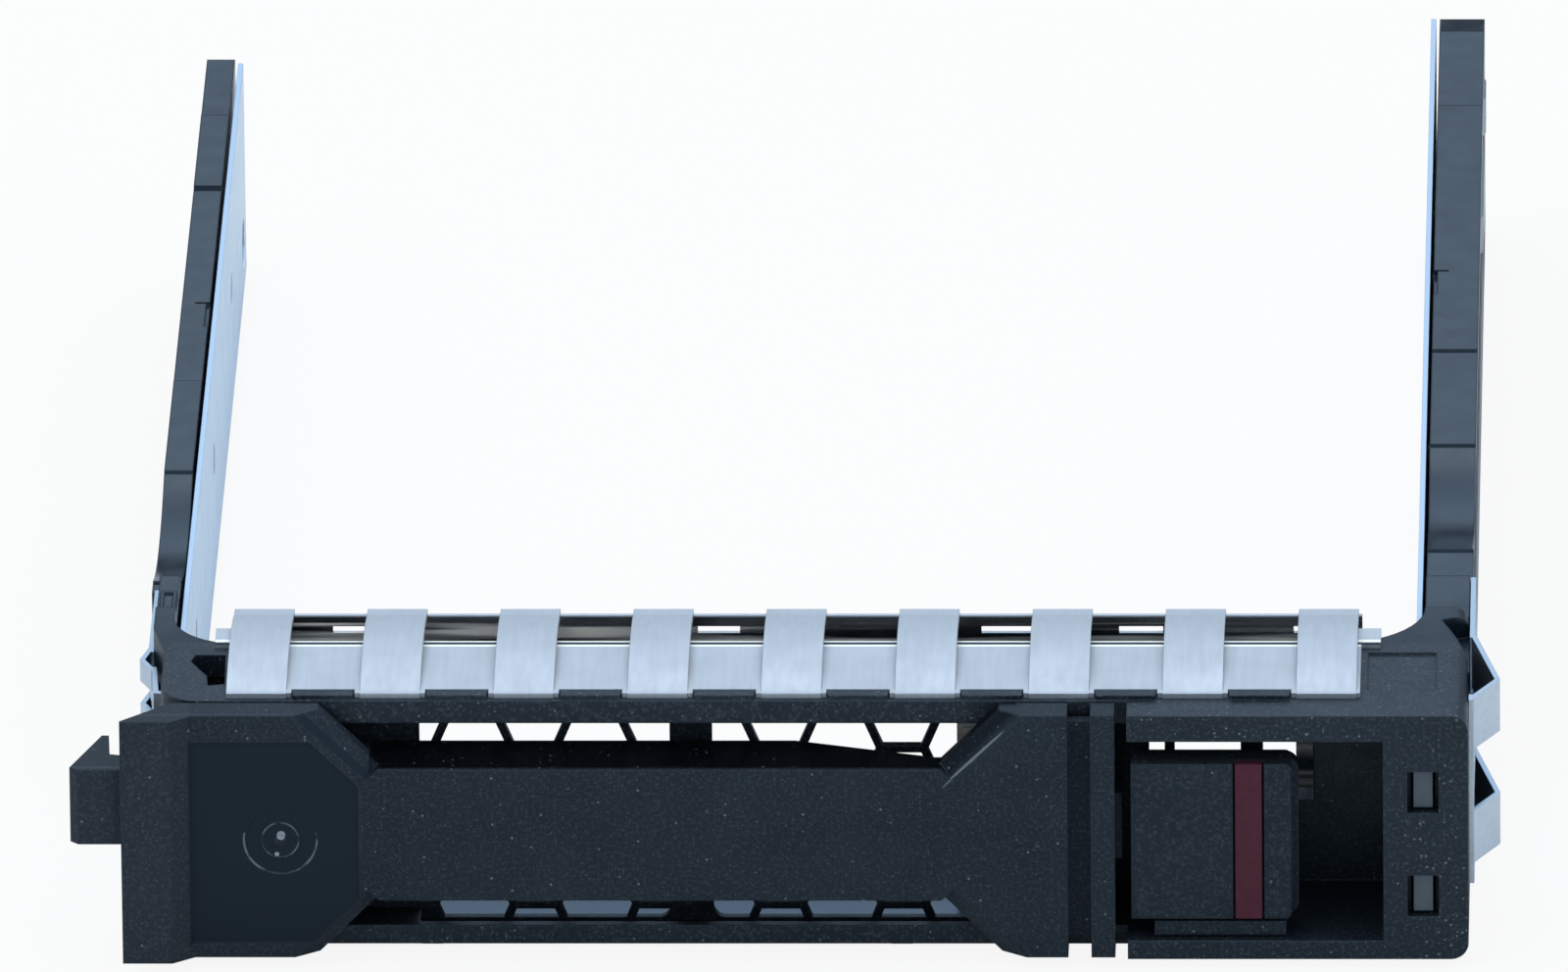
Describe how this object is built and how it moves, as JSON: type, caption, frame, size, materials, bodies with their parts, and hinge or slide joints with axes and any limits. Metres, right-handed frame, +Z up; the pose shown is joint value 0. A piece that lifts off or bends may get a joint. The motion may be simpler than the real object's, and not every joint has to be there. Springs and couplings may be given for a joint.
{
  "type": "hot swap drive caddy",
  "caption": "Black U-shaped carrier that slides a small drive into a server, with a swinging ejector lever, a sliding release button and a sprung steel shield.",
  "frame": {"origin": "middle of the bezel's lower front edge, on the plane of the latch end's front face and level with the underside of the rails", "axes": "+X to the latch and status lights, +Y back along the rails, +Z up"},
  "size_m": [0.0806, 0.1152, 0.0164],
  "materials": {
    "black_plastic": "fine moulded",
    "textured_plastic": "spark textured with pale specks",
    "maroon_plastic": "satin",
    "steel": "bright drawn wire",
    "shield_steel": "bright rolled",
    "clear_plastic": "clear moulded"
  },
  "bodies": {
    "carrier": {"carrier_frame": "black_plastic", "lever_pin": "steel", "lever_spring": "steel", "button_spring": "steel", "emi_shield": "shield_steel", "left_rail_liner": "shield_steel", "right_rail_liner": "shield_steel", "left_side_spring": "shield_steel", "right_side_spring": "shield_steel", "upper_light_pipe": "clear_plastic", "lower_light_pipe": "clear_plastic"},
    "lever": {"ejector_lever": "textured_plastic"},
    "button": {"release_button": "textured_plastic", "button_stripe": "maroon_plastic"}
  },
  "joints": [
    {"name": "lever_hinge", "type": "hinge", "parent": "carrier", "child": "lever", "pos_m": [-0.0343, 0.0046, 0.0074], "axis": [0, 0, -1], "range_deg": [0, 55], "deforming": ["lever_spring"]},
    {"name": "button_slide", "type": "slide", "parent": "carrier", "child": "button", "axis": [1, 0, 0], "range_m": [0, 0.0032], "stiffness_N_per_m": 300, "deforming": ["button_spring"]}
  ]
}
